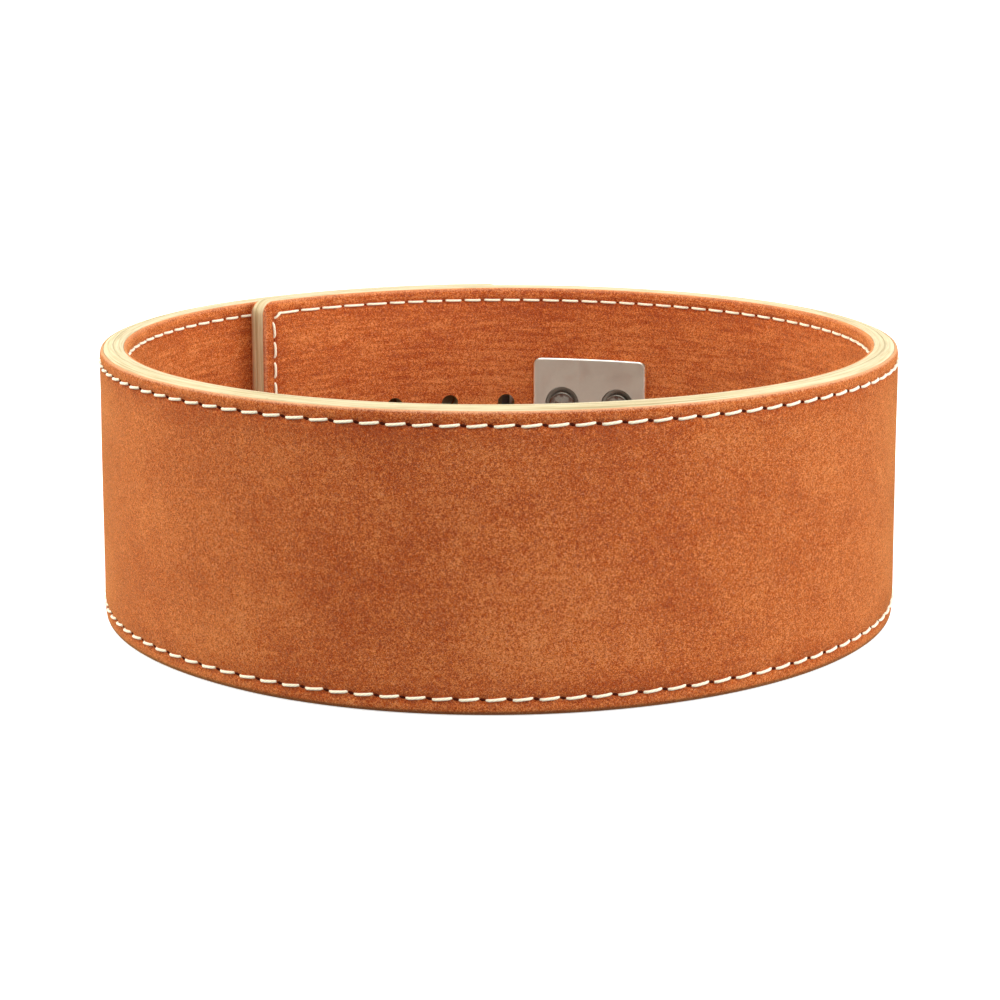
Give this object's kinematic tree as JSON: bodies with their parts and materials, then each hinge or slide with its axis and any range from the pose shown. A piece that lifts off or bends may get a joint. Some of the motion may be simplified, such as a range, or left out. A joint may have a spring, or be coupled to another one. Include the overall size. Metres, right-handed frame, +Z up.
{
  "type": "weightlifting belt",
  "caption": "Wide stiff weightlifting belt: suede skins stitched over a laminated leather core, closed into a loop by a lever clasp with a backing plate, standing on its lower edge.",
  "frame": {"origin": "middle of the footprint, on the surface that the belt's lower edge stands on", "axes": "+Z up, the axis of the open loop; -Y towards the plain front of the loop, +Y towards the lap and the clasp; +X along the longer side of the loop"},
  "size_m": [0.2934, 0.2728, 0.1014],
  "materials": {
    "suede": "napped tan suede, mottled, with paler raised nap",
    "core_leather": "raw cream leather, cut edge, dressed and crowned",
    "stitch_thread": "waxed cream thread",
    "plate_steel": "satin, with bright bevelled edges",
    "screw_steel": "satin turned steel",
    "clasp_steel": "brushed, plain and unmarked"
  },
  "bodies": {
    "root": {"outer_suede": "suede", "outer_core_ply": "core_leather", "inner_core_ply": "core_leather", "inner_suede": "suede", "backing_plate": "plate_steel", "screw_1": "screw_steel", "screw_2": "screw_steel", "lever_clasp": "clasp_steel"}
  },
  "joints": []
}
